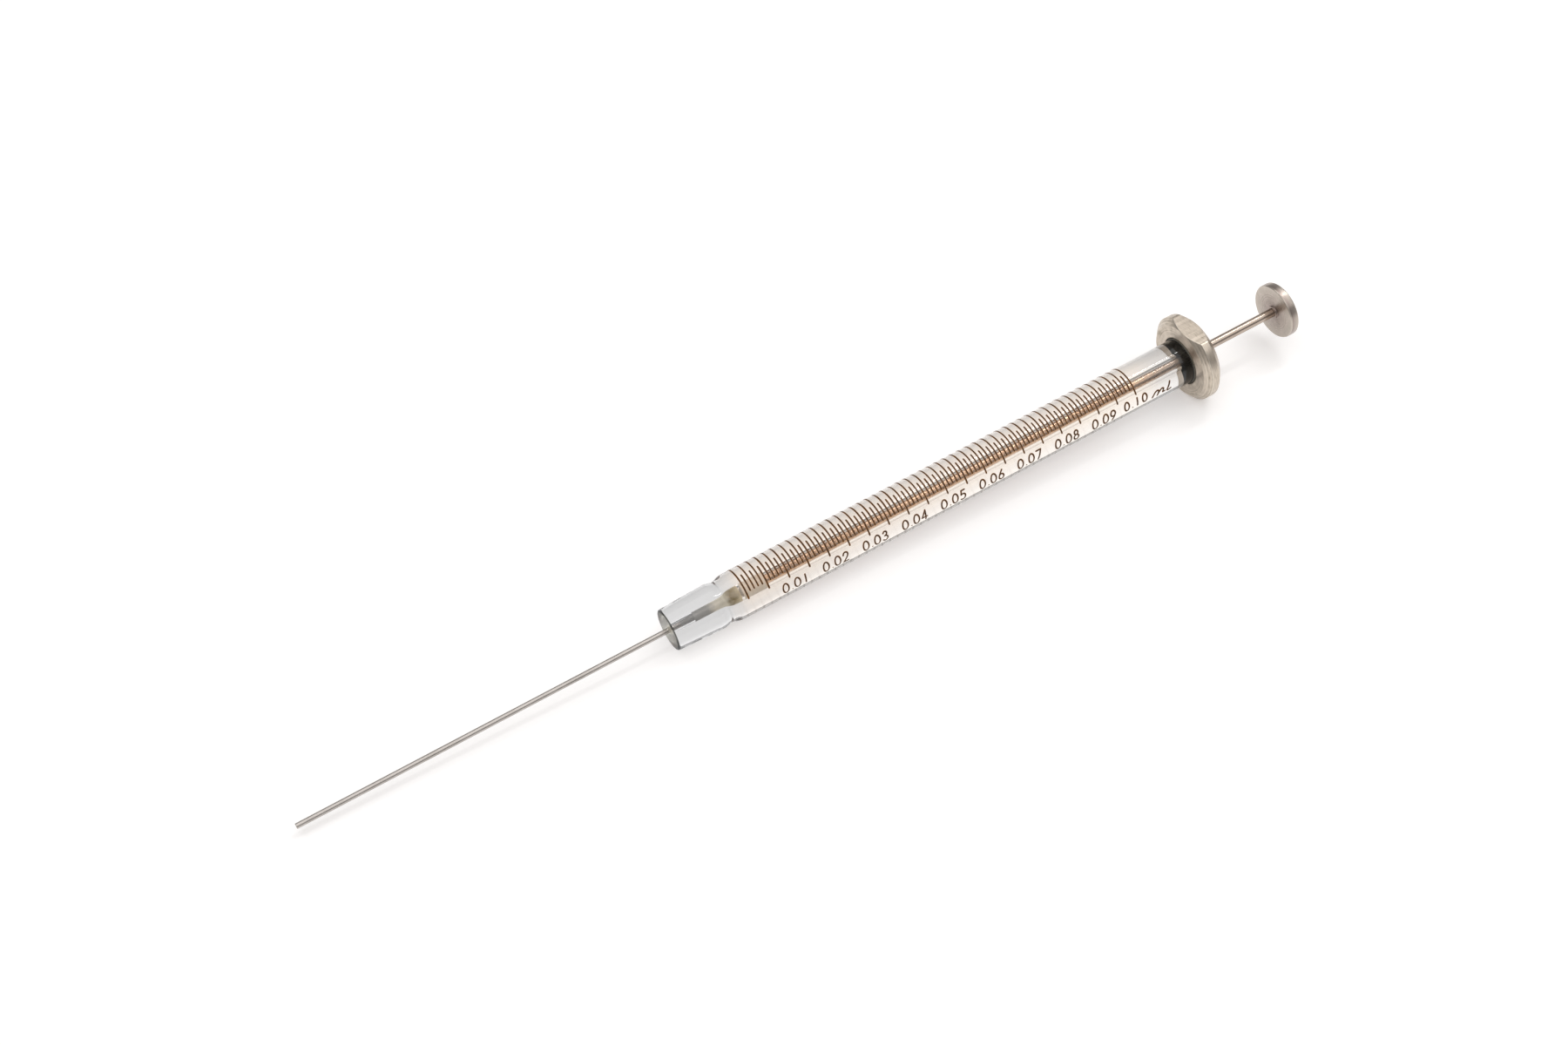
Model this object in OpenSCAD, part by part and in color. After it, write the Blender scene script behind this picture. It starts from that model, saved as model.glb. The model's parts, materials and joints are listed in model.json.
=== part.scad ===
// Microsyringe of 0.1 millilitre with a cemented needle, lying at rest on its finger flange.
// It is drawn along +X, from the needle tip at -X to the thumb button at +X, with x = 0 at the
// zero line of its scale. at_rest() then leans it until the flange and the glass touch z = 0.
// All sizes are in millimetres and all angles in degrees.

/* [Glass barrel] */
// Outside diameter of the tube
barrel_d = 6.42; // [6.1:0.02:7.2]
// Bore of the tube; 60 mm of it holds 0.1 millilitre
bore_d = 1.457; // [1.3:0.001:1.6]
// Glass between the zero line and the needle end
nose_len = 10.5; // [8:0.1:14]
// Diameter of the end face round the needle
nose_d = 5.73; // [5:0.01:6]
// Distance from the zero line to where the nose starts to taper
taper_start = 0.8; // [0:0.1:2]
// Radius of the fire-polished edge of the end face
edge_r = 0.25; // [0.05:0.01:0.4]
// Distance from the zero line to the middle of the waist
waist_pos = 2.65; // [1.8:0.05:4]
// Length of the waist along the tube
waist_len = 2.6; // [1:0.1:3]
// Depth of the waist on each side
waist_depth = 0.28; // [0.1:0.01:0.5]
// Clear glass between the last line and the flange
scale_margin = 9.5; // [4:0.1:15]

/* [Needle] */
// Outside diameter of the needle tube
needle_d = 0.718; // [0.4:0.001:0.8]
// Bore of the needle tube
needle_bore_d = 0.168; // [0.1:0.001:0.25]
// Length of needle that stands out of the glass
needle_len = 51; // [20:1:80]
// Gap between the needle and the glass all round it
needle_gap = 0.08; // [0.05:0.01:0.15]
// Distance from the zero line to the inner end of the needle
needle_recess = 0.3; // [0.1:0.05:0.6]
// Distance from the zero line to where the bore starts to narrow
funnel_start = 1.15; // [0.8:0.05:2]
// Length of the funnel between the bore and the needle hole
funnel_len = 2.25; // [1.5:0.05:4]
// Stretch of needle hole at the end face that the cement leaves clear
cement_clear = 1.6; // [0.5:0.1:4]

/* [Scale] */
// Length of the scale, from the first line to the last
scale_len = 60; // [50:1:70]
// Number of divisions along the scale
divisions = 100; // [50:10:100]
// Width of a line
line_w = 0.2; // [0.1:0.01:0.3]
// Thickness of the enamel
line_t = 0.02; // [0.01:0.005:0.05]
// Angle round the glass at which every second line begins, from the top towards -Y
even_from = -66; // [-90:1:-40]
// Angle at which the lines between them begin
odd_from = 0; // [-20:1:20]
// Angle at which an ordinary line ends
short_to = 41; // [30:1:50]
// Angle at which every fifth line ends
long_to = 57; // [52:1:70]

/* [Flange] */
// Diameter of the round rim
flange_d = 12.3; // [11.6:0.1:14]
// Distance between the two flats that keep the syringe from rolling
flange_flats = 10.6; // [9.8:0.1:11.4]
// Thickness of the flange
flange_t = 2.7; // [2.2:0.1:4]
// Diameter of the flat ring that the chamfers leave on both faces
flange_face_d = 10.5; // [9.4:0.1:10.8]
// Angle of the chamfers, from the faces
flange_slope = 42; // [20:1:50]
// Thickness of the cement between the glass and its socket
cement_t = 0.26; // [0.1:0.02:0.5]
// Depth of the socket
socket_depth = 1.6; // [0.8:0.1:1.8]
// How much wider than the bore the hole for the plunger is
hole_play = 0.54; // [0.2:0.02:1]

/* [Plunger] */
// Diameter of the rod
rod_d = 1.25; // [1:0.01:1.25]
// Clear rod between the flange and the button when the plunger is pushed in
button_gap = 13.25; // [5:0.05:20]
// Length of the soft tip
tip_len = 3.4; // [2.5:0.1:6]
// Play between the tip and the bore, on the diameter
tip_play = 0.024; // [0.02:0.002:0.06]
// Diameter of the spigot that carries the tip
spigot_d = 0.7; // [0.5:0.01:0.9]
// Length of that spigot
spigot_len = 2.2; // [1:0.1:2.4]

/* [Thumb button] */
// Diameter of the button
button_d = 7.84; // [6:0.02:12]
// Thickness of the button
button_t = 1.3; // [1.2:0.05:3]
// Depth of the hole that holds the rod
rod_seat = 0.8; // [0.4:0.05:0.9]
// Chamfer round the front face, across the face
button_front_edge = 0.12; // [0.05:0.01:0.6]
// Depth of that chamfer along the rim
button_front_drop = 0.2; // [0.05:0.01:0.3]
// Chamfer round the thumb face
button_back_edge = 0.15; // [0.1:0.05:0.4]
// Wall of the boss round the rod
boss_t = 0.32; // [0.15:0.01:0.8]
// Height of the boss
boss_h = 0.25; // [0.1:0.05:0.6]

/* [Hidden] */
$fn = 96;

// thickness of a glued joint, left open between two pieces that are bonded
bond = 0.01;
// length by which a cutting shape passes the face that it cuts
cut = 1;
// steps along the waist, and round the edge of the end face
steps = 16;
edge_steps = 4;
// every how many lines a long one comes
long_every = 5;
// largest share of the flange's thickness that one chamfer may take
most_edge = 0.4;

// places along the axis
nose_x = -nose_len;
needle_tip_x = nose_x - needle_len;
funnel_wide_x = -funnel_start;
funnel_narrow_x = funnel_wide_x - funnel_len;
cement_end_x = nose_x + cement_clear;
flange_x = scale_len + scale_margin;
barrel_end_x = flange_x + socket_depth;
flange_back_x = flange_x + flange_t;
button_x = flange_back_x + button_gap;
button_back_x = button_x + button_t;

// radii used by more than one piece
barrel_r = barrel_d / 2;
needle_r = needle_d / 2;
rod_r = rod_d / 2;
flange_r = flange_d / 2;
socket_d = barrel_d + 2 * cement_t;
needle_hole_r = needle_r + needle_gap;
plunger_hole_d = bore_d + hole_play;
boss_r = rod_r + boss_t;

// the flange's chamfers: their depth along the axis, and how far a flat's edge lies from the face
face_r = flange_face_d / 2;
edge_x = min((flange_r - face_r) * tan(flange_slope), flange_t * most_edge);
flat_h = flange_flats / 2;
flat_in = max(0, flat_h - face_r) * edge_x / (flange_r - face_r);

// At rest the lower flat of the flange stands on its front edge and the glass on its shoulder,
// or on the rim of its end face where that lies lower.
flat_x = flange_x + flat_in;
shoulder_lean = (flat_h - barrel_r) / (flat_x + taper_start);
rim_lean = (flat_h - nose_d / 2) / (flat_x + nose_len);
lean = atan(min(shoulder_lean, rim_lean));
rest_z = flat_h * cos(lean) - flat_x * sin(lean);
back_x = button_back_x * cos(lean) + (button_d / 2 - button_back_edge) * sin(lean);
front_x = needle_tip_x * cos(lean) - needle_r * sin(lean);
middle_x = (back_x + front_x) / 2;

// radius of the glass at a place along it: a straight taper, with the waist sunk into it
function taper_r(x) = x > -taper_start ? barrel_r
    : barrel_r - (barrel_r - nose_d / 2) * (-taper_start - x) / (nose_len - taper_start);
function waist_sink(x) = waist_depth * (1 + cos(360 * (x + waist_pos) / waist_len)) / 2;
function wall_r(x) = abs(x + waist_pos) < waist_len / 2 ? taper_r(x) - waist_sink(x) : taper_r(x);

// radius of the hollow in the glass, from the needle hole through the funnel to the bore
function hollow_r(x) = x < funnel_narrow_x ? needle_hole_r : x > funnel_wide_x ? bore_d / 2
    : bore_d / 2 - (bore_d / 2 - needle_hole_r) * (funnel_wide_x - x) / funnel_len;

// lays the whole syringe on the ground, centred over the origin
module at_rest() {
    translate([-middle_x, 0, rest_z]) rotate([0, -lean, 0]) children();
}

// turns an outline of [radius, place along the axis] round the X axis
module turned(outline) {
    rotate([0, 90, 0]) rotate_extrude() polygon(outline);
}

// round rod, or cutter, from one place on the axis to another
module round_bar(from, to, d) {
    translate([from, 0, 0]) rotate([0, 90, 0]) cylinder(d = d, h = to - from);
}

module barrel() {
    rim_r = taper_r(nose_x + edge_r);
    waist = [for (i = [0:steps]) -waist_pos - waist_len / 2 + waist_len * i / steps];
    rim = [for (i = [0:edge_steps]) let (a = 90 * i / edge_steps)
        [rim_r - edge_r * (1 - sin(a)), nose_x + edge_r * (1 - cos(a))]];
    outer = concat(rim, [for (x = waist) if (x < -taper_start) [wall_r(x), x]],
        [[wall_r(-taper_start), -taper_start]],
        [for (x = waist) if (x > -taper_start) [wall_r(x), x]], [[barrel_r, barrel_end_x]]);
    inner = [for (x = [barrel_end_x, funnel_wide_x, funnel_narrow_x, nose_x]) [hollow_r(x), x]];
    color([0.86, 0.9, 0.9, 0.45]) at_rest() turned(concat(outer, inner));
}

// one line of the scale, fired on the outside of the glass
module scale_line(i) {
    from = i % 2 == 0 ? even_from : odd_from;
    to = i % long_every == 0 ? long_to : short_to;
    rotate([0, 90, 0]) rotate([0, 0, 180 + from]) rotate_extrude(angle = to - from)
        translate([barrel_r + bond, scale_len * i / divisions - line_w / 2])
            square([line_t, line_w]);
}

module graduations() {
    color([0.36, 0.16, 0.07]) at_rest() for (i = [0:divisions]) scale_line(i);
}

// a round blank, chamfered on both faces, cut to two flats and drilled from both sides
module flange() {
    blank = [[0, flange_x], [face_r, flange_x], [flange_r, flange_x + edge_x],
        [flange_r, flange_back_x - edge_x], [face_r, flange_back_x], [0, flange_back_x]];
    color([0.68, 0.65, 0.58]) at_rest() difference() {
        intersection() {
            turned(blank);
            translate([flange_x, -flange_r, -flat_h]) cube([flange_t, flange_d, flange_flats]);
        }
        round_bar(flange_x - cut, barrel_end_x, socket_d);
        round_bar(barrel_end_x - cut, flange_back_x + cut, plunger_hole_d);
    }
}

module flange_cement() {
    color([0.12, 0.11, 0.09]) at_rest() difference() {
        round_bar(flange_x, barrel_end_x, socket_d - 2 * bond);
        round_bar(flange_x - cut, barrel_end_x + cut, barrel_d + 2 * bond);
    }
}

module needle() {
    color([0.6, 0.58, 0.56]) at_rest() difference() {
        round_bar(needle_tip_x, -needle_recess, needle_d);
        round_bar(needle_tip_x - cut, cut, needle_bore_d);
    }
}

// fills the funnel and most of the needle hole
module needle_cement() {
    along = [-needle_recess, funnel_wide_x, funnel_narrow_x, cement_end_x];
    color([0.62, 0.42, 0.16]) at_rest() turned(concat([for (x = along) [hollow_r(x) - bond, x]],
        [[needle_r + bond, cement_end_x], [needle_r + bond, -needle_recess]]));
}

module plunger_rod() {
    color([0.66, 0.61, 0.57]) at_rest() union() {
        round_bar(tip_len, button_x + rod_seat, rod_d);
        round_bar(tip_len - spigot_len, tip_len, spigot_d);
    }
}

// soft tip, pressed on the spigot; its front face stands at the zero line
module plunger_tip() {
    color([0.9, 0.9, 0.88]) at_rest() difference() {
        round_bar(0, tip_len, bore_d - tip_play);
        round_bar(tip_len - spigot_len - bond, tip_len + cut, spigot_d + 2 * bond);
    }
}

module plunger_button() {
    r = button_d / 2;
    blank = [[0, button_x - boss_h], [boss_r, button_x - boss_h], [boss_r, button_x],
        [r - button_front_edge, button_x], [r, button_x + button_front_drop],
        [r, button_back_x - button_back_edge], [r - button_back_edge, button_back_x],
        [0, button_back_x]];
    color([0.62, 0.57, 0.53]) at_rest() difference() {
        turned(blank);
        round_bar(button_x - boss_h - cut, button_x + rod_seat, rod_d + 2 * bond);
    }
}

barrel();
graduations();
flange();
flange_cement();
needle();
needle_cement();
plunger_rod();
plunger_tip();
plunger_button();
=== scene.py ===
"""A 0.1 millilitre glass microsyringe, lying on its finger flange on a white studio table.

Every mesh is drawn in millimetres along the syringe's own axis: x runs from the needle to the
thumb button, with 0 at the zero line of the scale, and an angle round the axis is counted from
the top towards the camera's side.
"""
import json
import math
import random

import bpy
from mathutils import Euler, Matrix, Vector


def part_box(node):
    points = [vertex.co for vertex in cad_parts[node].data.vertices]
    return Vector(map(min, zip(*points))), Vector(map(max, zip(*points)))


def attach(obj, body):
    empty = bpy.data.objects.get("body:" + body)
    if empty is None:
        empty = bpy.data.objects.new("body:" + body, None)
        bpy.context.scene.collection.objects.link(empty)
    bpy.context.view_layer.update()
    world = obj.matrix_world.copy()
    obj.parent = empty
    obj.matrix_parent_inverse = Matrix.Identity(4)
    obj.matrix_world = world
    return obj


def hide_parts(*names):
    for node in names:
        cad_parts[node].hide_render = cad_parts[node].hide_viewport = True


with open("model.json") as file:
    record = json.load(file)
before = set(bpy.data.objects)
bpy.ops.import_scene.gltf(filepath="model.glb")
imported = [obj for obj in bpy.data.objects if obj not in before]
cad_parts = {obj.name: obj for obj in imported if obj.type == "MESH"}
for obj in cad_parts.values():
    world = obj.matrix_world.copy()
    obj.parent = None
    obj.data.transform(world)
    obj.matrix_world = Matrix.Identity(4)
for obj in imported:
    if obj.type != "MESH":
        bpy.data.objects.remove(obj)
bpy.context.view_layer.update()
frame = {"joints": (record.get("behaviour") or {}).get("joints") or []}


# ---- Glass barrel ---------------------------------------------------------------------------
# A thick-walled capillary of clear borosilicate glass, drawn and fire polished. It tapers to a
# ground end face, is necked in by a waist where the needle is held, and its bore narrows there
# in a funnel to the needle hole.

MM = 0.001
TIP_LEN = 3.4
NOSE = -10.5
TAPER_START = -0.8
WAIST, WAIST_LEN, WAIST_DEPTH, WAIST_STEPS = -2.65, 2.6, 0.28, 48
GROUND_DEPTH = 0.16
GLASS_END = 71.1
GLASS_R, NOSE_R, BORE_R, NEEDLE_HOLE_R = 3.21, 2.865, 0.7285, 0.439
FUNNEL_WIDE, FUNNEL_NARROW = -1.15, -3.4

axis = Vector(frame["joints"][0]["axis"])
tip_low, tip_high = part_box("plunger_tip")
zero_line = (tip_low + tip_high) / 2 - axis * TIP_LEN / 2 * MM
across = Vector((0, 1, 0))
lying = Matrix((axis, across, axis.cross(across))).transposed().to_4x4()
place = Matrix.Translation(zero_line) @ lying


def eased(corners, steps=4):
    """Rounds an outline's corners. Each is (along, radius) or (along, radius, size of rounding)."""
    outline = []
    for i, corner in enumerate(corners):
        here = Vector(corner[:2])
        size = corner[2] if len(corner) > 2 else 0
        if size == 0:
            outline.append(tuple(here))
            continue
        before = Vector(corners[i - 1][:2]) - here
        after = Vector(corners[(i + 1) % len(corners)][:2]) - here
        before *= min(size, before.length * 0.45) / before.length
        after *= min(size, after.length * 0.45) / after.length
        for k in range(steps + 1):
            t = k / steps
            outline.append(tuple(here + before * (1 - t) ** 2 + after * t**2))
    return outline


def turned(outline, turns=128, closed=True):
    """Points and faces of an outline of (along, radius) turned round the axis."""
    points, rings, faces = [], [], []
    for along, radius in outline:
        count = turns if radius > 0 else 1
        rings.append([len(points) + k % count for k in range(turns)])
        for k in range(count):
            angle = 2 * math.pi * k / turns
            points.append((along, -radius * math.sin(angle), radius * math.cos(angle)))
    for a, b in zip(rings, rings[1:] + (rings[:1] if closed else [])):
        for k in range(turns):
            n = (k + 1) % turns
            corners = list(dict.fromkeys((a[k], a[n], b[n], b[k])))
            if len(corners) > 2:
                faces.append(corners)
    return points, faces


def facing_out(points, faces):
    """Turns the whole mesh right side out, going by the volume that its faces enclose."""
    volume = 0.0
    for face in faces:
        a = Vector(points[face[0]])
        for p, q in zip(face[1:], face[2:]):
            volume += a.dot(Vector(points[p]).cross(Vector(points[q])))
    return faces if volume > 0 else [face[::-1] for face in faces]


def syringe_piece(name, body, slot, points, faces, materials, node=None, sharp=35, second=None):
    """A closed mesh in millimetres along the axis, laid in place, smoothed and tied to its body.
    Faces for which second(centre, normal) is true get the second material."""
    mesh = bpy.data.meshes.new(name)
    mesh.from_pydata([Vector(p) for p in points], [], facing_out(points, faces))
    mesh.validate()
    for material in materials:
        mesh.materials.append(material)
    if second:
        for face in mesh.polygons:
            face.material_index = int(second(face.center, face.normal))
    mesh.transform(place @ Matrix.Scale(MM, 4))
    mesh.shade_smooth()
    mesh.set_sharp_from_angle(angle=math.radians(sharp))
    made = bpy.data.objects.new(name, mesh)
    bpy.context.scene.collection.objects.link(made)
    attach(made, body)
    if node:
        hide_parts(node)
    return made


def put(tree, kind, values=None, **settings):
    """Adds a shader node. A value that is a socket is linked, and any other is set."""
    made = tree.nodes.new("ShaderNode" + kind)
    for name, value in settings.items():
        setattr(made, name, value)
    for name, value in (values or {}).items():
        if isinstance(value, bpy.types.NodeSocket):
            tree.links.new(value, made.inputs[name])
        else:
            made.inputs[name].default_value = value
    return made


def marks(name, inputs, outputs):
    """Starts a node group for surface marks, with number sockets."""
    group = bpy.data.node_groups.new(name, "ShaderNodeTree")
    for title, start in inputs.items():
        socket = group.interface.new_socket(title, in_out="INPUT", socket_type="NodeSocketFloat")
        socket.default_value = start
    for title in outputs:
        group.interface.new_socket(title, in_out="OUTPUT", socket_type="NodeSocketFloat")
    return group, group.nodes.new("NodeGroupInput").outputs, group.nodes.new("NodeGroupOutput").inputs


def in_mm(tree):
    """Places on the piece in millimetres, with x along the axis."""
    spot = put(tree, "TexCoord").outputs["Object"]
    back = put(tree, "Mapping", {"Vector": spot, "Location": zero_line, "Rotation": lying.to_euler(),
                                 "Scale": (MM, MM, MM)}, vector_type="TEXTURE")
    return back.outputs["Vector"]


def finish(name, **looks):
    """A new material and its Principled shader, with these plain values set on the shader."""
    material = bpy.data.materials.new(name)
    material.use_nodes = True
    shader = material.node_tree.nodes["Principled BSDF"]
    for socket, value in looks.items():
        shader.inputs[socket.replace("_", " ")].default_value = value
    return material, material.node_tree, shader.inputs


# streaks: drawn, ground or brushed lines, as noise stretched along or across the axis
streaks, given, out = marks("streaks", {"Along": 1.0, "Across": 20.0}, ["Mask"])
parts = put(streaks, "SeparateXYZ", {0: in_mm(streaks)}).outputs
stretched = put(streaks, "CombineXYZ", {
    0: put(streaks, "Math", {0: parts[0], 1: given["Along"]}, operation="MULTIPLY").outputs[0],
    1: put(streaks, "Math", {0: parts[1], 1: given["Across"]}, operation="MULTIPLY").outputs[0],
    2: put(streaks, "Math", {0: parts[2], 1: given["Across"]}, operation="MULTIPLY").outputs[0]})
grain = put(streaks, "TexNoise", {"Vector": stretched.outputs[0], "Scale": 1.0, "Detail": 3.0})
streaks.links.new(grain.outputs[0], out["Mask"])

# smudges: cloudy patches where fingers have been, from 0 to 1
smudges, given, out = marks("smudges", {"Size": 2.0, "Least": 0.45, "Most": 0.75}, ["Mask"])
per_mm = put(smudges, "Math", {0: 1.0, 1: given["Size"]}, operation="DIVIDE").outputs[0]
cloud = put(smudges, "TexNoise", {"Vector": in_mm(smudges), "Scale": per_mm, "Detail": 4.0,
                                  "Distortion": 0.6})
patch = put(smudges, "MapRange", {"Value": cloud.outputs[0], "From Min": given["Least"],
                                  "From Max": given["Most"]})
smudges.links.new(patch.outputs[0], out["Mask"])


def see_lamps_through(material, colour):
    """Lets lamps and soft light reach what is behind clear glass or thin enamel."""
    tree = material.node_tree
    path = put(tree, "LightPath").outputs
    soft = put(tree, "Math", {0: path["Is Shadow Ray"], 1: path["Is Diffuse Ray"]},
               operation="MAXIMUM")
    clear = put(tree, "BsdfTransparent", {"Color": colour})
    shader = tree.nodes["Principled BSDF"].outputs[0]
    mixed = put(tree, "MixShader", {0: soft.outputs[0], 1: shader, 2: clear.outputs[0]})
    tree.links.new(mixed.outputs[0], tree.nodes["Material Output"].inputs["Surface"])


def glass_finish(name, tone, ior, rough, rougher, bump):
    """Glass with faint draw lines and hand marks. Its colour is made by tone(tree, spot)."""
    material, tree, shader = finish(name, IOR=ior, Transmission_Weight=1.0, Roughness=rough)
    tree.links.new(tone(tree, in_mm(tree)), shader["Base Color"])
    smudge = put(tree, "Group", {"Size": 3.0, "Least": 0.5, "Most": 0.8}, node_tree=smudges)
    haze = put(tree, "MapRange", {"Value": smudge.outputs[0], "To Min": rough, "To Max": rougher})
    tree.links.new(haze.outputs[0], shader["Roughness"])
    drawn = put(tree, "Group", {"Along": 0.12, "Across": 2.2}, node_tree=streaks)
    relief = put(tree, "Bump", {"Height": drawn.outputs[0], "Strength": 1.0, "Distance": bump * MM})
    tree.links.new(relief.outputs[0], shader["Normal"])
    see_lamps_through(material, (0.74, 0.74, 0.74, 1))
    return material


def painted_warm_glow_tone(tree, spot):
    """Clear glass, painted a faint lighter amber over the scale, most of all over the middle of
    the lines: a painted glow for the warm light that comes through the amber enamel."""
    along = put(tree, "SeparateXYZ", {0: spot}).outputs[0]
    from_zero = put(tree, "MapRange", {"Value": along, "From Min": -2.0, "From Max": 0.5},
                    interpolation_type="SMOOTHSTEP")
    past_end = put(tree, "MapRange", {"Value": along, "From Min": 61.0, "From Max": 66.0,
                                      "To Min": 1.0, "To Max": 0.35},
                   interpolation_type="SMOOTHSTEP")
    # 1 on the glass over the middle of the lines, and less round either side of it
    side = put(tree, "VectorMath", {0: spot, 1: (0, -0.146, 0.275)}, operation="DOT_PRODUCT")
    on_lines = put(tree, "MapRange", {"Value": side.outputs["Value"], "From Min": 0.6,
                                      "From Max": 0.92, "To Min": 0.5, "To Max": 1.0},
                   interpolation_type="SMOOTHSTEP")
    glow_share = put(tree, "Math", {0: from_zero.outputs[0], 1: past_end.outputs[0]},
                operation="MULTIPLY")
    glow_share = put(tree, "Math", {0: glow_share.outputs[0], 1: on_lines.outputs[0]}, operation="MULTIPLY")
    # grey clear glass, and the lighter amber of the painted glow over the scale
    return put(tree, "Mix", {0: glow_share.outputs[0], 6: (0.68, 0.675, 0.675, 1),
                             7: (0.89, 0.79, 0.69, 1)}, data_type="RGBA").outputs[2]


def off_axis(tree, spot):
    """Distance of a spot from the axis."""
    parts = put(tree, "SeparateXYZ", {0: spot}).outputs
    flat = put(tree, "CombineXYZ", {1: parts[1], 2: parts[2]})
    return put(tree, "VectorMath", {0: flat.outputs[0]}, operation="LENGTH").outputs["Value"]


def painted_dark_rim_tone(tree, spot):
    """Grey green glass of the ground end, with near black painted shade on its rim, which was
    rounded in the flame.
    """
    rim = put(tree, "MapRange", {"Value": off_axis(tree, spot), "From Min": 2.3, "From Max": 2.7})
    # the near black towards the rim is painted shade
    return put(tree, "Mix", {0: rim.outputs[0], 6: (0.60, 0.59, 0.49, 1),
                             7: (0.02, 0.02, 0.016, 1)}, data_type="RGBA").outputs[2]


clear_glass = glass_finish("clear_glass", painted_warm_glow_tone, ior=1.48, rough=0.0, rougher=0.02,
                           bump=0.002)
ground_glass = glass_finish("ground_glass", painted_dark_rim_tone, ior=1.3, rough=0.32, rougher=0.5,
                            bump=0.02)


def glass_radius(x):
    """Outside of the glass: straight, then a taper with the waist sunk into it."""
    radius = GLASS_R
    if x < TAPER_START:
        radius -= (GLASS_R - NOSE_R) * (TAPER_START - x) / (TAPER_START - NOSE)
    if abs(x - WAIST) < WAIST_LEN / 2:
        radius -= WAIST_DEPTH * (1 + math.cos(2 * math.pi * (x - WAIST) / WAIST_LEN)) / 2
    return radius


waist_xs = [WAIST + WAIST_LEN * (k / WAIST_STEPS - 0.5) for k in range(WAIST_STEPS + 1)]
wall = [(NOSE, NEEDLE_HOLE_R, 0.03), (NOSE, glass_radius(NOSE), 0.36)]
wall += [(x, glass_radius(x)) for x in sorted(waist_xs + [TAPER_START])]
wall += [(GLASS_END, GLASS_R, 0.03), (GLASS_END, BORE_R), (FUNNEL_WIDE, BORE_R, 0.3),
         (FUNNEL_NARROW, NEEDLE_HOLE_R, 0.3)]
syringe_piece("barrel_glass", "barrel", "glass", *turned(eased(wall, steps=6), turns=192),
              [clear_glass, ground_glass], "barrel",
              second=lambda centre, normal: centre.x < NOSE + GROUND_DEPTH)


# ---- Scale ----------------------------------------------------------------------------------
# A hundred and one lines of brown enamel, screened on the drawn glass and fired, 0.6 mm apart.
# Every second line wraps over the top, and every fifth one, longer, comes down to its number.

DIVISIONS, SCALE_LEN = 100, 60.0
LINE_W, ENAMEL_T, ENAMEL_SEAT = 0.25, 0.026, 0.004
EVEN_FROM, ODD_FROM, SHORT_TO, LONG_TO, ARC_STEP = -66, 0, 41, 57, 3

random.seed(7)


def enamel_stroke(points, faces, depths, path, width):
    """Adds a stroke of enamel along a path of (along, distance round the glass) points, with
    a crowned section, round ends and a base that is fused into the glass. The depths say how
    thick the enamel is at each point, from 0 at its edges to 1."""
    profile = [(-1.0, 0.0), (-0.86, 0.35), (-0.62, 0.85), (0.0, 1.0), (0.62, 0.85), (0.86, 0.35),
               (1.0, 0.0)]
    path = [Vector(p) for p in path]
    start, end = path[0] - path[1], path[-1] - path[-2]
    caps = [(math.cos(a), math.sin(a)) for a in (math.radians(12), math.radians(35),
                                                math.radians(62))]
    stations = [(path[0] + start.normalized() * width / 2 * c, s) for c, s in caps]
    stations += [(p, 1.0) for p in path]
    stations += [(path[-1] + end.normalized() * width / 2 * c, s) for c, s in reversed(caps)]
    first = len(points)
    for i, (here, full) in enumerate(stations):
        way = stations[min(i + 1, len(stations) - 1)][0] - stations[max(i - 1, 0)][0]
        across_way = Vector((-way.y, way.x)).normalized()
        for u, v in profile:
            along, round_by = here + across_way * (u * width / 2 * full)
            radius = GLASS_R - ENAMEL_SEAT + ENAMEL_T * v * min(1, full * 1.2)
            angle = round_by / GLASS_R
            points.append((along, -radius * math.sin(angle), radius * math.cos(angle)))
            depths.append(v * full)
    n = len(profile)
    for i in range(len(stations) - 1):
        for k in range(n):
            a, b = first + i * n + k, first + i * n + (k + 1) % n
            faces.append((a, b, b + n, a + n))
    faces.append(tuple(range(first, first + n))[::-1])
    faces.append(tuple(range(first + (len(stations) - 1) * n, first + len(stations) * n)))


def mark_points(piece, name, values):
    """Stores a number from 0 to 1 on each point of a piece, for its material."""
    layer = piece.data.attributes.new(name, "FLOAT", "POINT")
    layer.data.foreach_set("value", values)


def fired_enamel():
    """Dark brown enamel that thins to amber at a stroke's edges."""
    material, tree, shader = finish("fired_enamel", Roughness=0.5, IOR=1.35)
    mottle = put(tree, "TexNoise", {"Vector": in_mm(tree), "Scale": 2.5, "Detail": 5.0,
                                    "Roughness": 0.65})
    worn = put(tree, "MapRange", {"Value": mottle.outputs[0], "From Min": 0.3, "From Max": 0.75,
                                  "To Min": 0.0, "To Max": 0.45})
    depth = put(tree, "Attribute", attribute_name="enamel_depth").outputs["Fac"]
    left = put(tree, "Math", {0: depth, 1: worn.outputs[0]}, operation="SUBTRACT")
    tone = put(tree, "ValToRGB", {"Fac": left.outputs[0]})
    ramp = tone.color_ramp
    ramp.elements[0].position, ramp.elements[0].color = 0.0, (0.62, 0.30, 0.10, 1)
    ramp.elements[1].position, ramp.elements[1].color = 0.85, (0.036, 0.014, 0.003, 1)
    ramp.elements.new(0.45).color = (0.16, 0.065, 0.016, 1)
    tree.links.new(tone.outputs[0], shader["Base Color"])
    pits = put(tree, "TexNoise", {"Vector": in_mm(tree), "Scale": 18.0, "Detail": 2.0})
    relief = put(tree, "Bump", {"Height": pits.outputs[0], "Strength": 0.6,
                                "Distance": 0.01 * MM})
    tree.links.new(relief.outputs[0], shader["Normal"])
    see_lamps_through(material, (0.45, 0.22, 0.08, 1))
    return material


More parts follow.
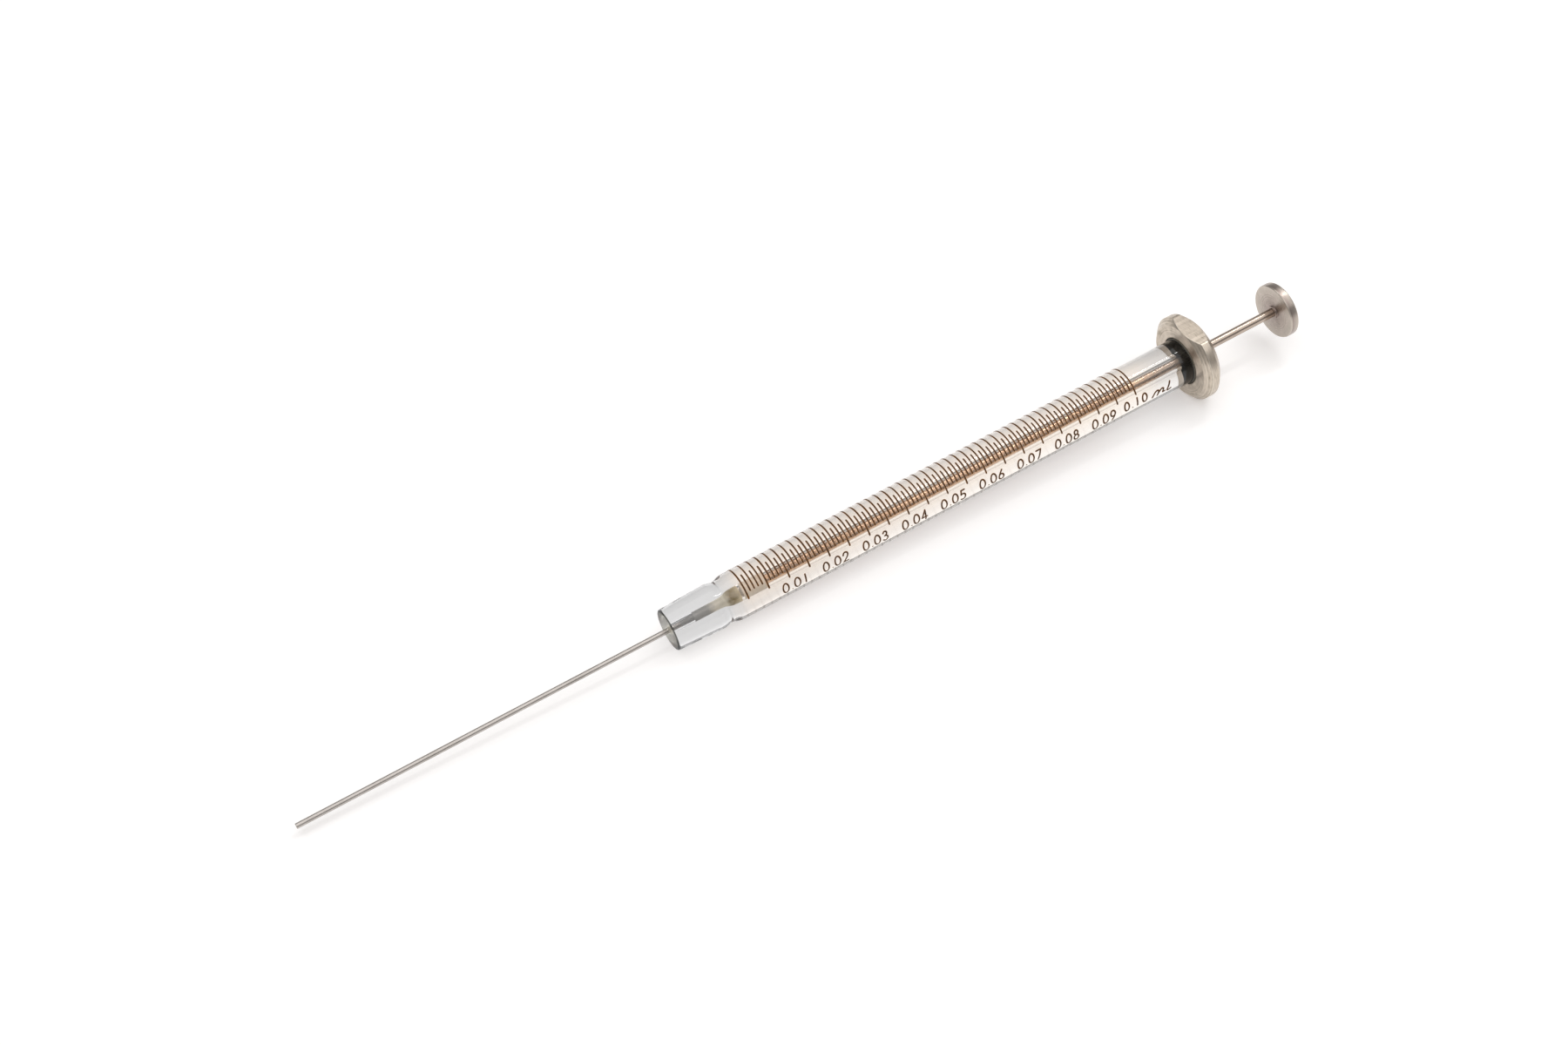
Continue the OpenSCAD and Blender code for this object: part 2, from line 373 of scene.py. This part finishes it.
def enamel_underside_glow():
    """The underside of the enamel, in a lighter amber: a painted glow for the light that comes
    through the thin enamel.
    """
    material, tree, shader = finish("enamel_underside", Roughness=0.5, IOR=1.5)
    mottle = put(tree, "TexNoise", {"Vector": in_mm(tree), "Scale": 4.0})
    tone = put(tree, "ValToRGB", {"Fac": mottle.outputs[0]})
    tone.color_ramp.elements[0].color = (0.20, 0.07, 0.02, 1)
    tone.color_ramp.elements[1].color = (0.50, 0.22, 0.07, 1)
    tree.links.new(tone.outputs[0], shader["Base Color"])
    see_lamps_through(material, (0.8, 0.6, 0.4, 1))
    return material


enamel, enamel_under = fired_enamel(), enamel_underside_glow()


def fused_side(centre, normal):
    """Whether a face is on the side of a stroke that is fused to the glass."""
    return normal.dot(Vector((0, centre.y, centre.z)).normalized()) < -0.5


line_points, line_faces, line_depths = [], [], []
for i in range(DIVISIONS + 1):
    from_angle = (EVEN_FROM if i % 2 == 0 else ODD_FROM) + random.uniform(-0.6, 0.6)
    to_angle = (LONG_TO if i % 5 == 0 else SHORT_TO) + random.uniform(-0.5, 0.5)
    steps = math.ceil((to_angle - from_angle) / ARC_STEP)
    along = SCALE_LEN * i / DIVISIONS
    arc = [(along, math.radians(from_angle + (to_angle - from_angle) * k / steps) * GLASS_R)
           for k in range(steps + 1)]
    enamel_stroke(line_points, line_faces, line_depths, arc, LINE_W * random.uniform(0.94, 1.06))
scale_lines = syringe_piece("scale_lines", "barrel", "enamel", line_points, line_faces,
                            [enamel, enamel_under], "graduations", sharp=60,
                            second=fused_side)
mark_points(scale_lines, "enamel_depth", line_depths)


# ---- Numbers --------------------------------------------------------------------------------
# The numbers 0.01 to 0.10 and the unit, screened and fired in the same brown enamel. They
# stand beside the long lines and read from the needle towards the flange.

# sizes and places are in millimetres, the pens of the point and the unit are parts of the
# digits' pen, and the digits' middle is in degrees round the glass
DIGIT_H, LAST_DIGIT_H, PEN = 1.50, 1.35, 0.25
POINT_PEN, UNIT_PEN = 0.8, 1.15
DIGIT_MIDDLE = 80.3
POINT_AT, SECOND_AT, THIRD_AT = 0.90, 1.72, 2.92
LABEL_SHIFT, LAST_SHIFT, LAST_LIFT = 0.55, -0.25, 0.24
UNIT_AT = 62.47


def oval(x, y, half_w, half_h, turns=28):
    """A closed loop, as points in digit heights."""
    return [(x + half_w * math.sin(2 * math.pi * k / turns),
             y + half_h * math.cos(2 * math.pi * k / turns)) for k in range(turns + 1)]


def flowing(knots, steps=7):
    """A smooth pen path through these points."""
    path, ends = [], [knots[0]] + list(knots) + [knots[-1]]
    for a, b, c, d in zip(ends, ends[1:], ends[2:], ends[3:]):
        for k in range(steps):
            t = k / steps
            path.append(tuple(
                b[j] + 0.5 * t * (c[j] - a[j] + t * (2 * a[j] - 5 * b[j] + 4 * c[j] - d[j]
                                                     + t * (3 * (b[j] - c[j]) + d[j] - a[j])))
                for j in (0, 1)))
    return path + [tuple(knots[-1])]


# each digit is drawn round x = 0, in digit heights, from the baseline up
DIGITS = {
    "0": [oval(0, 0.5, 0.27, 0.5)],
    "1": [[(0, 0.04), (0, 0.5), (0, 0.94)]],
    "2": [flowing([(-0.22, 0.76), (-0.13, 0.95), (0.03, 1.0), (0.2, 0.9), (0.22, 0.7),
                   (0.1, 0.45), (-0.24, 0.0)]), [(-0.24, 0), (0, 0), (0.24, 0)]],
    "3": [flowing([(-0.18, 0.86), (-0.05, 0.99), (0.12, 0.94), (0.17, 0.76), (0.06, 0.6),
                   (-0.06, 0.56)]),
          flowing([(-0.06, 0.56), (0.12, 0.51), (0.23, 0.3), (0.13, 0.07), (-0.04, 0.0),
                   (-0.22, 0.14)])],
    "4": [[(0.12, 0), (0.12, 0.5), (0.12, 1)], [(0.12, 1), (-0.07, 0.65), (-0.26, 0.28)],
          [(-0.26, 0.28), (0, 0.28), (0.26, 0.28)]],
    "5": [[(0.2, 1), (0.03, 1), (-0.13, 1)], [(-0.13, 1), (-0.16, 0.8), (-0.19, 0.57)],
          flowing([(-0.19, 0.57), (0.0, 0.64), (0.2, 0.5), (0.22, 0.25), (0.08, 0.03),
                   (-0.1, 0.0), (-0.22, 0.08)])],
    "6": [oval(0.0, 0.3, 0.24, 0.3),
          flowing([(0.12, 1.0), (-0.08, 0.72), (-0.21, 0.45), (-0.24, 0.3)])],
    "7": [[(-0.24, 1), (0, 1), (0.24, 1)], [(0.24, 1), (0.08, 0.5), (-0.1, 0)]],
    "8": [oval(0, 0.77, 0.18, 0.23), oval(0, 0.27, 0.24, 0.27)],
    "9": [oval(0.0, 0.7, 0.24, 0.3),
          flowing([(0.24, 0.7), (0.21, 0.55), (0.08, 0.28), (-0.12, 0.0)])],
}
# a point is one short stroke, and the unit is in a flowing hand
POINT = [[(0, 0.06), (0.02, 0.06)]]
UNIT = [flowing([(-0.02, -0.05), (0.17, 0.24), (0.33, 0.42), (0.55, 0.50), (0.69, 0.40),
                 (0.63, 0.16), (0.53, -0.05)], 5),
        flowing([(0.60, 0.10), (0.86, 0.38), (1.08, 0.49), (1.22, 0.38), (1.14, 0.16),
                 (1.15, 0.03), (1.34, 0.05)], 5),
        flowing([(1.95, 0.80), (1.80, 0.41), (1.62, 0.05), (1.71, -0.08), (2.00, 0.02)], 5)]

number_points, number_faces, number_depths = [], [], []


def write_at(x, strokes, pen, size, lift):
    """Adds pen strokes to the numbers, with their feet this far above the baseline."""
    foot = math.radians(DIGIT_MIDDLE) * GLASS_R + DIGIT_H / 2 - lift
    for path in strokes:
        enamel_stroke(number_points, number_faces, number_depths,
                      [(x + size * u, foot - size * v) for u, v in path], pen)


for tenth in range(1, 11):
    shift, size, lift = ((LAST_SHIFT, LAST_DIGIT_H, LAST_LIFT) if tenth == 10
                         else (LABEL_SHIFT, DIGIT_H, 0.0))
    start = SCALE_LEN * tenth / 10 - THIRD_AT / 2 + shift
    figures = f"{tenth:02d}"
    # the strokes are a little broader towards the flange
    pen = PEN * (0.95 + 0.012 * tenth)
    write_at(start, DIGITS["0"], pen, size, lift)
    write_at(start + POINT_AT, POINT, pen * POINT_PEN, size, lift)
    write_at(start + SECOND_AT, DIGITS[figures[0]], pen, size, lift)
    write_at(start + THIRD_AT, DIGITS[figures[1]], pen, size, lift)
write_at(UNIT_AT, UNIT, PEN * UNIT_PEN, DIGIT_H, LAST_LIFT)
numbers = syringe_piece("scale_numbers", "barrel", "enamel", number_points, number_faces,
                        [enamel, enamel_under], sharp=60, second=fused_side)
mark_points(numbers, "enamel_depth", number_depths)


# ---- Finger flange --------------------------------------------------------------------------
# A turned brass disc with a broad chamfer round both faces, two flats milled across it and
# satin nickel plating. The glass is cemented in its socket, and the plunger passes its back.

FLANGE, FLANGE_BACK = 69.5, 72.2
FLAT_H, LAND_R, FACE_R, SOCKET_R, ROD_HOLE_R = 5.3, 6.15, 5.25, 3.47, 0.9985
SLOPE = math.tan(math.radians(42))
FLANGE_COLUMNS, FLAT_CRISPNESS = 360, 60.0
# the edges are painted brighter, partly for wear and partly as a painted highlight along them
EDGE_WEAR_AND_GLINT, EDGE_BEND, EDGE_IN = 0.7, 0.12, 0.1

# rings: fine tool marks left by turning, as bands of noise by distance from the axis
rings, given, out = marks("turning_rings", {"Fineness": 25.0}, ["Mask"])
fine = put(rings, "Math", {0: off_axis(rings, in_mm(rings)), 1: given["Fineness"]},
           operation="MULTIPLY")
band = put(rings, "TexNoise", {"W": fine.outputs[0], "Scale": 1.0, "Detail": 3.0},
           noise_dimensions="1D")
rings.links.new(band.outputs[0], out["Mask"])


def nickel_finish(name, light, dark, ring_depth, rough):
    """Satin nickel: turned rings, cloudy tarnish, and bright metal along the edges, partly worn
    and partly a painted highlight.
    """
    material, tree, shader = finish(name, Metallic=1.0, Roughness=rough, IOR=1.5)
    cloud = put(tree, "Group", {"Size": 1.6, "Least": 0.35, "Most": 0.7}, node_tree=smudges)
    ring = put(tree, "Group", {"Fineness": 6.0}, node_tree=rings)
    streak = put(tree, "Group", {"Along": 9.0, "Across": 1.2}, node_tree=streaks)
    both = put(tree, "Mix", {0: 0.5, 2: ring.outputs[0], 3: streak.outputs[0]})
    lines = put(tree, "MapRange", {"Value": both.outputs[0], "From Min": 0.4, "From Max": 0.66})
    patchy = put(tree, "MapRange", {"Value": cloud.outputs[0], "To Min": 0.35, "To Max": 0.9})
    veil = put(tree, "Math", {0: lines.outputs[0], 1: patchy.outputs[0]}, operation="MULTIPLY")
    tone = put(tree, "Mix", {0: veil.outputs[0], 6: light, 7: dark}, data_type="RGBA")
    # lighter along the edges: partly worn metal, partly a painted highlight
    edge = put(tree, "Attribute", attribute_name="edge_wear_and_glint").outputs["Fac"]
    worn = put(tree, "Mix", {0: edge, 6: tone.outputs[2], 7: (0.72, 0.66, 0.57, 1)},
               data_type="RGBA")
    tree.links.new(worn.outputs[2], shader["Base Color"])
    satin = put(tree, "MapRange", {"Value": both.outputs[0], "From Min": 0.3, "From Max": 0.7,
                                   "To Min": rough - 0.06, "To Max": rough + 0.10})
    tree.links.new(satin.outputs[0], shader["Roughness"])
    relief = put(tree, "Bump", {"Height": both.outputs[0], "Strength": 1.0,
                                "Distance": ring_depth * MM})
    tree.links.new(relief.outputs[0], shader["Normal"])
    return material


satin_nickel = nickel_finish("satin_nickel", light=(0.64, 0.555, 0.465, 1),
                             dark=(0.26, 0.215, 0.16, 1), ring_depth=0.02, rough=0.34)


def flange_outline(angle):
    """The flange's section at an angle round the axis: full round, or as far as a flat, with
    a small smooth turn between the two."""
    to_flat = FLAT_H / max(abs(math.cos(angle)), 0.01)
    past_flat = min(FLAT_CRISPNESS * (LAND_R - to_flat), 100)
    rim = LAND_R - math.log(1 + math.exp(past_flat)) / FLAT_CRISPNESS
    chamfer = (rim - FACE_R) * SLOPE
    return eased([
        (FLANGE_BACK, ROD_HOLE_R, 0.08), (GLASS_END, ROD_HOLE_R), (GLASS_END, SOCKET_R),
        (FLANGE, SOCKET_R, 0.05), (FLANGE, FACE_R, 0.06),
        (FLANGE + chamfer, rim, 0.06), (FLANGE_BACK - chamfer, rim, 0.06),
        (FLANGE_BACK, FACE_R, 0.06)])


flange_points, flange_faces, flange_wear_and_glint = [], [], []
for k in range(FLANGE_COLUMNS):
    angle = 2 * math.pi * k / FLANGE_COLUMNS
    section = flange_outline(angle)
    for m, (along, radius) in enumerate(section):
        flange_points.append((along, -radius * math.sin(angle), radius * math.cos(angle)))
        a, b = Vector(section[m - 1]), Vector(section[(m + 1) % len(section)])
        here = Vector(section[m])
        bend = (here - a).angle(b - here, 0) if (here - a).length and (b - here).length else 0
        on_edge = bend > EDGE_BEND and radius > FACE_R + EDGE_IN
        flange_wear_and_glint.append(EDGE_WEAR_AND_GLINT if on_edge else 0.0)
    n, size = (k + 1) % FLANGE_COLUMNS, len(section)
    for m in range(size):
        flange_faces.append((k * size + m, n * size + m, n * size + (m + 1) % size,
                             k * size + (m + 1) % size))
flange = syringe_piece("finger_flange", "barrel", "nickel", flange_points, flange_faces,
                       [satin_nickel], "flange", sharp=30)
mark_points(flange, "edge_wear_and_glint", flange_wear_and_glint)


# ---- Socket cement --------------------------------------------------------------------------
# Nearly black cement that holds the glass in the flange. It fills the socket round and behind
# the glass, and its front edge is a pulled, slightly lumpy ring.

GLUE = 0.005  # a glue line left open at the socket's wall
SKIN = 0.005  # how far a filling piece reaches into the glass, so that no air shows between
# where painted highlights lie on the front edge's two lips, and half their width
LIP_HIGHLIGHTS, LIP_HIGHLIGHT_HALF = (0.34, 0.78), 0.12  # as parts of the way from the glass to the socket


def black_cement():
    """Black cement with brownish lumps, and a painted highlight along each of its two lips."""
    material, tree, shader = finish("socket_cement", Roughness=0.35, IOR=1.5)
    lumps = put(tree, "TexNoise", {"Vector": in_mm(tree), "Scale": 1.6, "Detail": 5.0})
    body = put(tree, "ValToRGB", {"Fac": lumps.outputs[0]})
    low, high = body.color_ramp.elements
    low.position, low.color = 0.35, (0.006, 0.005, 0.004, 1)
    high.position, high.color = 0.75, (0.045, 0.042, 0.028, 1)
    across_ring = put(tree, "MapRange", {"Value": off_axis(tree, in_mm(tree)),
                                         "From Min": GLASS_R, "From Max": SOCKET_R})
    lip_highlight_ramp = put(tree, "ValToRGB", {"Fac": across_ring.outputs[0]})
    low, high = lip_highlight_ramp.color_ramp.elements
    low.color = high.color = (0, 0, 0, 1)
    for lip in LIP_HIGHLIGHTS:
        for at, light in ((lip - LIP_HIGHLIGHT_HALF, 0.0), (lip, 1.0), (lip + LIP_HIGHLIGHT_HALF, 0.0)):
            lip_highlight_ramp.color_ramp.elements.new(at).color = (light, light, light, 1)
    tone = put(tree, "Mix", {0: lip_highlight_ramp.outputs[0], 6: body.outputs[0], 7: (0.22, 0.19, 0.13, 1)},
               data_type="RGBA")
    tree.links.new(tone.outputs[2], shader["Base Color"])
    relief = put(tree, "Bump", {"Height": lumps.outputs[0], "Strength": 1.0,
                                "Distance": 0.05 * MM})
    tree.links.new(relief.outputs[0], shader["Normal"])
    return material


# its front edge has two low lips with a groove between them
cement_section = eased([
    (GLASS_END - 0.01, ROD_HOLE_R + 0.1), (GLASS_END - 0.01, SOCKET_R - GLUE),
    (FLANGE + 0.06, SOCKET_R - GLUE, 0.04), (FLANGE - 0.02, 3.41, 0.04),
    (FLANGE + 0.10, 3.36, 0.04), (FLANGE - 0.02, 3.30, 0.04), (FLANGE - 0.16, GLASS_R - SKIN),
    (GLASS_END - 0.02, GLASS_R - SKIN), (GLASS_END - 0.02, ROD_HOLE_R + 0.1)])
syringe_piece("socket_cement", "barrel", "dark_cement", *turned(cement_section, turns=192),
              [black_cement()], "flange_cement")


# ---- Needle ---------------------------------------------------------------------------------
# A drawn stainless steel tube, centreless ground, with a square blunt tip and a hair-fine
# bore. It runs through the nose of the glass and ends in the funnel.

NEEDLE_TIP, NEEDLE_END, NEEDLE_R, NEEDLE_BORE_R = -61.5, -0.3, 0.359, 0.084


def steel_finish(name, light, dark, rough, lines_along, lines_across, painted_reflection=None):
    """Bright steel with fine lines, slightly darker where it has been handled. A painted
    reflection colours a stretch: painted_reflection is (colour, full as far as, gone by)."""
    material, tree, shader = finish(name, Metallic=1.0, Roughness=rough, IOR=1.5)
    line = put(tree, "Group", {"Along": lines_along, "Across": lines_across}, node_tree=streaks)
    cloud = put(tree, "Group", {"Size": 2.5, "Least": 0.4, "Most": 0.75}, node_tree=smudges)
    veil = put(tree, "Math", {0: cloud.outputs[0], 1: line.outputs[0]}, operation="MULTIPLY")
    tone = put(tree, "Mix", {0: veil.outputs[0], 6: light, 7: dark}, data_type="RGBA")
    if painted_reflection:
        colour, full_to, gone_by = painted_reflection
        place_along = put(tree, "SeparateXYZ", {0: in_mm(tree)}).outputs[0]
        reflection_share = put(tree, "MapRange", {"Value": place_along, "From Min": full_to,
                                      "From Max": gone_by, "To Min": 1.0, "To Max": 0.0})
        tone = put(tree, "Mix", {0: reflection_share.outputs[0], 6: tone.outputs[2], 7: colour},
                   data_type="RGBA")
    tree.links.new(tone.outputs[2], shader["Base Color"])
    satin = put(tree, "MapRange", {"Value": line.outputs[0], "From Min": 0.3, "From Max": 0.7,
                                   "To Min": rough - 0.05, "To Max": rough + 0.08})
    tree.links.new(satin.outputs[0], shader["Roughness"])
    relief = put(tree, "Bump", {"Height": line.outputs[0], "Strength": 1.0,
                                "Distance": 0.004 * MM})
    tree.links.new(relief.outputs[0], shader["Normal"])
    return material


ground_steel = steel_finish("ground_steel", light=(0.50, 0.46, 0.43, 1),
                            dark=(0.34, 0.31, 0.28, 1), rough=0.3,
                            lines_along=5.0, lines_across=1.0)
# rings of points along the needle keep its faces from being very long
needle_section = eased([
    (NEEDLE_TIP, NEEDLE_BORE_R, 0.01), (NEEDLE_TIP, NEEDLE_R, 0.05)]
    + [(NEEDLE_TIP + 2 + k * 4.9, NEEDLE_R) for k in range(12)]
    + [(NEEDLE_END, NEEDLE_R, 0.03), (NEEDLE_END, NEEDLE_BORE_R, 0.01)])
syringe_piece("needle_tube", "barrel", "steel", *turned(needle_section, turns=64),
              [ground_steel], "needle")


# ---- Needle cement --------------------------------------------------------------------------
# Amber resin, drawn into the funnel round the needle while it was thin, then cured. It thins
# out along the needle hole.

CEMENT_END, CEMENT_TAPER = -8.9, 1.9


def resin_finish():
    """Cured resin: grey where it is a thin film in the needle hole, cream in the funnel, and
    brown where it stood thickest. Its faint glow stands for light that the glass gathers."""
    material, tree, shader = finish("amber_resin", Roughness=0.3, IOR=1.5,
                                    Transmission_Weight=0.5, Emission_Strength=0.16)
    spot = in_mm(tree)
    along = put(tree, "SeparateXYZ", {0: spot}).outputs[0]
    wander = put(tree, "TexNoise", {"Vector": spot, "Scale": 1.1, "Detail": 3.0})
    swing = put(tree, "MapRange", {"Value": wander.outputs[0], "To Min": -0.9, "To Max": 0.9})
    place_along = put(tree, "Math", {0: along, 1: swing.outputs[0]}, operation="ADD")
    depth = put(tree, "MapRange", {"Value": place_along.outputs[0], "From Min": CEMENT_END,
                                   "From Max": NEEDLE_END})
    tone = put(tree, "ValToRGB", {"Fac": depth.outputs[0]})
    thin, thick = tone.color_ramp.elements
    thin.position, thin.color = 0.0, (0.42, 0.41, 0.40, 1)
    thick.position, thick.color = 1.0, (0.86, 0.76, 0.54, 1)
    for at, colour in ((0.45, (0.45, 0.43, 0.40, 1)), (0.58, (0.92, 0.84, 0.70, 1)),
                       (0.76, (0.94, 0.86, 0.68, 1)), (0.88, (0.34, 0.25, 0.12, 1))):
        tone.color_ramp.elements.new(at).color = colour
    tree.links.new(tone.outputs[0], shader["Base Color"])
    tree.links.new(tone.outputs[0], shader["Emission Color"])
    see_lamps_through(material, (0.6, 0.55, 0.45, 1))
    return material


resin_section = eased([
    (NEEDLE_END - 0.05, NEEDLE_R - SKIN), (NEEDLE_END, BORE_R + SKIN, 0.04),
    (FUNNEL_WIDE, BORE_R + SKIN, 0.3), (FUNNEL_NARROW, NEEDLE_HOLE_R + SKIN, 0.3),
    (CEMENT_END + CEMENT_TAPER, NEEDLE_HOLE_R + SKIN, 0.5), (CEMENT_END, NEEDLE_R - SKIN)])
syringe_piece("needle_resin", "barrel", "amber_cement", *turned(resin_section, turns=96),
              [resin_finish()], "needle_cement")


# ---- Plunger rod ----------------------------------------------------------------------------
# A straight drawn and polished steel wire, painted lighter and warmer under the scale as a
# painted reflection of the amber lines. Its front end carries the soft tip, and its back end
# is pressed into the thumb button.

ROD_R, BUTTON_SEAT = 0.625, 86.25
SPIGOT_R, SPIGOT_LEN = 0.35, 2.2

# under the scale the wire is painted a light warm colour, a painted reflection of the amber lines
drawn_steel = steel_finish("drawn_steel", light=(0.50, 0.41, 0.345, 1),
                           dark=(0.34, 0.27, 0.22, 1), rough=0.2,
                           lines_along=0.15, lines_across=9.0,
                           painted_reflection=((0.74, 0.56, 0.43, 1), 54.0, 68.0))
# rings of points along the wire keep its faces from being very long
rod_section = eased(
    [(TIP_LEN - SPIGOT_LEN, 0), (TIP_LEN - SPIGOT_LEN, SPIGOT_R, 0.04), (TIP_LEN, SPIGOT_R),
     (TIP_LEN, ROD_R, 0.04)] + [(8 + k * 7.0, ROD_R) for k in range(12)]
    + [(BUTTON_SEAT, ROD_R), (BUTTON_SEAT, 0)])
syringe_piece("plunger_wire", "plunger", "steel",
              *turned(rod_section, turns=96, closed=False), [drawn_steel], "plunger_rod")


# ---- Plunger tip ----------------------------------------------------------------------------
# A white PTFE sleeve, pressed on the spigot of the rod. It is a squeeze fit in the bore, so
# no air shows between it and the glass.

# the faint glow stands for light that scatters inside the PTFE
soft_white, tree, shader = finish("ptfe", Roughness=0.45, IOR=1.38, Emission_Strength=0.1)
cloud = put(tree, "Group", {"Size": 0.8, "Least": 0.35, "Most": 0.8}, node_tree=smudges)
tone = put(tree, "Mix", {0: cloud.outputs[0], 6: (0.94, 0.86, 0.75, 1),
                         7: (0.82, 0.71, 0.58, 1)}, data_type="RGBA")
tree.links.new(tone.outputs[2], shader["Base Color"])
tree.links.new(tone.outputs[2], shader["Emission Color"])
turning = put(tree, "Group", {"Along": 12.0, "Across": 0.5}, node_tree=streaks)
relief = put(tree, "Bump", {"Height": turning.outputs[0], "Strength": 0.7,
                            "Distance": 0.01 * MM})
tree.links.new(relief.outputs[0], shader["Normal"])
tip_section = eased([
    (0, 0), (0, BORE_R + SKIN, 0.1), (TIP_LEN, BORE_R + SKIN, 0.06), (TIP_LEN, SPIGOT_R),
    (TIP_LEN - SPIGOT_LEN, SPIGOT_R), (TIP_LEN - SPIGOT_LEN, 0)])
syringe_piece("plunger_seal", "plunger", "ptfe",
              *turned(tip_section, turns=96, closed=False), [soft_white], "plunger_tip")


# ---- Thumb button ---------------------------------------------------------------------------
# A turned disc of the same nickelled brass, with a small boss where the wire is pressed in
# and a narrow chamfer round both faces.

BUTTON, BUTTON_BACK, BUTTON_R, BOSS_R, BOSS_H = 85.45, 86.75, 3.92, 0.945, 0.25
FRONT_EDGE, FRONT_DROP, BACK_EDGE, WIRE_GLUE = 0.12, 0.2, 0.15, 0.01
# the rim's chamfers are painted bright, partly for wear and partly as a painted highlight
BUTTON_WEAR_AND_GLINT, RUBBED_IN, RUBBED_ALONG = 0.5, 0.22, 0.25

# the same nickel as the flange, with its colours painted darker as painted shade
shaded_button_nickel = nickel_finish("shaded_button_nickel", light=(0.38, 0.31, 0.28, 1),
                              dark=(0.19, 0.15, 0.125, 1), ring_depth=0.03, rough=0.30)
button_section = eased([
    (BUTTON_BACK, 0), (BUTTON_BACK, BUTTON_R - BACK_EDGE, 0.05),
    (BUTTON_BACK - BACK_EDGE, BUTTON_R, 0.05), (BUTTON + FRONT_DROP, BUTTON_R, 0.04),
    (BUTTON, BUTTON_R - FRONT_EDGE, 0.05), (BUTTON, BOSS_R, 0.05),
    (BUTTON - BOSS_H, BOSS_R, 0.06), (BUTTON - BOSS_H, ROD_R + WIRE_GLUE, 0.02),
    (BUTTON_SEAT, ROD_R + WIRE_GLUE), (BUTTON_SEAT, 0)])
button_points, button_faces = turned(button_section, turns=160, closed=False)
button = syringe_piece("thumb_button", "plunger", "nickel", button_points, button_faces,
                       [shaded_button_nickel], "plunger_button", sharp=30)


def button_wear_and_glint(x, y, z):
    """Bright metal on the chamfers at the rim, partly worn where thumbs and benches rub it and
    partly a painted highlight along the edges.
    """
    at_rim = math.hypot(y, z) > BUTTON_R - RUBBED_IN
    at_face = x < BUTTON + FRONT_DROP or x > BUTTON_BACK - RUBBED_ALONG
    return BUTTON_WEAR_AND_GLINT if at_rim and at_face else 0.0


mark_points(button, "edge_wear_and_glint", [button_wear_and_glint(*p) for p in button_points])


# ---- Table and light ------------------------------------------------------------------------
# A plain white table in a grey surround, one large soft lamp overhead and a long narrow one
# that draws the thin line of light along the glass.

table_mesh = bpy.data.meshes.new("table")
table_mesh.from_pydata([(-3, -3, 0), (3, -3, 0), (3, 3, 0), (-3, 3, 0)], [], [(0, 1, 2, 3)])
table = bpy.data.objects.new("table", table_mesh)
bpy.context.scene.collection.objects.link(table)

# how strongly the table glows when it is seen straight, mirrored in a piece or through glass
GLOW_STRAIGHT, GLOW_MIRRORED, GLOW_THROUGH = 0.32, 0.34, 0.54

white_table, tree, shader = finish("white_table", Base_Color=(0.8, 0.8, 0.8, 1), Roughness=0.9)
path = put(tree, "LightPath").outputs
mirrored = put(tree, "Math", {0: path["Is Glossy Ray"], 1: GLOW_MIRRORED},
               operation="MULTIPLY")
through = put(tree, "Math", {0: path["Is Transmission Ray"], 1: GLOW_THROUGH},
              operation="MULTIPLY")
indirect = put(tree, "Math", {0: mirrored.outputs[0], 1: through.outputs[0]},
               operation="MAXIMUM")
glow = put(tree, "Mix", {0: path["Is Camera Ray"], 2: indirect.outputs[0], 3: GLOW_STRAIGHT})
tint = put(tree, "Mix", {0: path["Is Camera Ray"], 6: (1, 1, 1, 1), 7: (1, 0.94, 0.91, 1)},
           data_type="RGBA")
tree.links.new(glow.outputs[0], shader["Emission Strength"])
tree.links.new(tint.outputs[2], shader["Emission Color"])
table_mesh.materials.append(white_table)

world = bpy.data.worlds.new("studio")
bpy.context.scene.world = world
world.use_nodes = True
tree = world.node_tree
tree.nodes["Background"].inputs["Color"].default_value = (0.36, 0.36, 0.36, 1)


def softbox(name, size, power, spot, aim):
    """A rectangular lamp at a spot, in metres, facing its aim, with its first side along X."""
    lamp = bpy.data.lights.new(name, "AREA")
    lamp.shape, lamp.energy = "RECTANGLE", power
    lamp.size, lamp.size_y = size
    made = bpy.data.objects.new(name, lamp)
    bpy.context.scene.collection.objects.link(made)
    back = (Vector(spot) - Vector(aim)).normalized()
    side = back.cross(Vector((1, 0, 0))).normalized()
    turn = Matrix((side.cross(back), side, back)).transposed()
    made.matrix_world = Matrix.Translation(spot) @ turn.to_4x4()


softbox("overhead", size=(1.7, 2.0), power=11.4, spot=(0.12, -0.10, 1.05),
        aim=(0.12, -0.10, 0))
softbox("strip", size=(0.55, 0.05), power=1.4, spot=(0.60, 0.17, 1.0), aim=(0.04, 0, 0))


# ---- Camera ---------------------------------------------------------------------------------
# It looks down on the syringe from the needle end of its near side.

CAMERA_AT = (-0.08238, -0.15192, 0.21503)
CAMERA_TURN = (39.9237, 3.3537, -30.8517)
CAMERA_LENS = 48.7195

lens = bpy.data.cameras.new("camera")
lens.lens, lens.sensor_width = CAMERA_LENS, 36.0
lens.clip_start, lens.clip_end = 0.005, 20.0
camera = bpy.data.objects.new("camera", lens)
bpy.context.scene.collection.objects.link(camera)
camera.location = CAMERA_AT
camera.rotation_euler = Euler([math.radians(a) for a in CAMERA_TURN], "XYZ")
bpy.context.scene.camera = camera
bpy.context.scene.view_settings.view_transform = "Standard"
